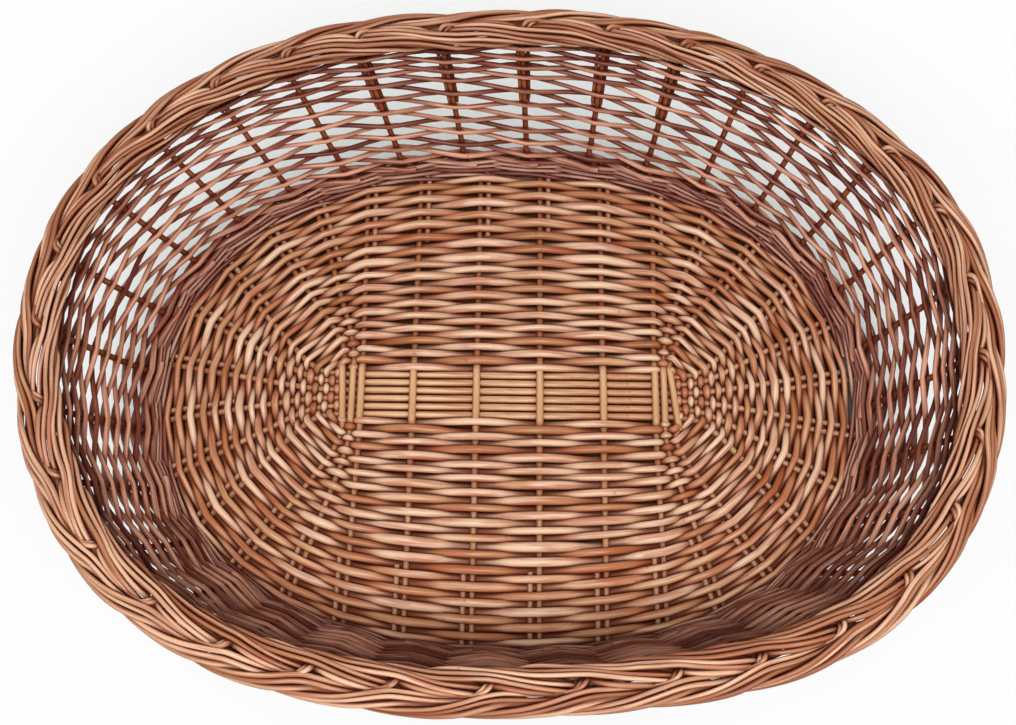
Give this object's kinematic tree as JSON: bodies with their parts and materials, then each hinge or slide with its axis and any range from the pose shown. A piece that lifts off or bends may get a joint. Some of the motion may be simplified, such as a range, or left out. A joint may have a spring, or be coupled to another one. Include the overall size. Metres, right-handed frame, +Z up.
{
  "type": "pet basket",
  "caption": "Oval open pet basket of woven willow, with a flared openwork wall and a plaited rim, for a cat or small dog to lie in.",
  "frame": {"origin": "on the floor under the middle of the base", "axes": "+X along the basket's length, +Y across it, +Z up"},
  "size_m": [0.72, 0.544, 0.2],
  "materials": {
    "base_stick": "satin",
    "base_weave": "satin",
    "stake": "satin",
    "upsett_wale": "satin",
    "side_weave": "satin",
    "border": "satin"
  },
  "bodies": {
    "root": {"base_stick_long_1": "base_stick", "base_stick_long_2": "base_stick", "base_stick_long_3": "base_stick", "base_stick_long_4": "base_stick", "base_stick_long_5": "base_stick", "base_stick_long_6": "base_stick", "base_stick_short_01": "base_stick", "base_stick_short_02": "base_stick", "base_stick_short_03": "base_stick", "base_stick_short_04": "base_stick", "base_stick_short_05": "base_stick", "base_stick_short_06": "base_stick", "base_stick_short_07": "base_stick", "base_stick_short_08": "base_stick", "base_stick_short_09": "base_stick", "base_stick_short_10": "base_stick", "base_weave": "base_weave", "stake_01": "stake", "stake_02": "stake", "stake_03": "stake", "stake_04": "stake", "stake_05": "stake", "stake_06": "stake", "stake_07": "stake", "stake_08": "stake", "stake_09": "stake", "stake_10": "stake", "stake_11": "stake", "stake_12": "stake", "stake_13": "stake", "stake_14": "stake", "stake_15": "stake", "stake_16": "stake", "stake_17": "stake", "stake_18": "stake", "stake_19": "stake", "stake_20": "stake", "stake_21": "stake", "stake_22": "stake", "stake_23": "stake", "stake_24": "stake", "stake_25": "stake", "stake_26": "stake", "stake_27": "stake", "stake_28": "stake", "stake_29": "stake", "stake_30": "stake", "stake_31": "stake", "stake_32": "stake", "upsett_wale": "upsett_wale", "side_weave": "side_weave", "border": "border"}
  },
  "joints": []
}
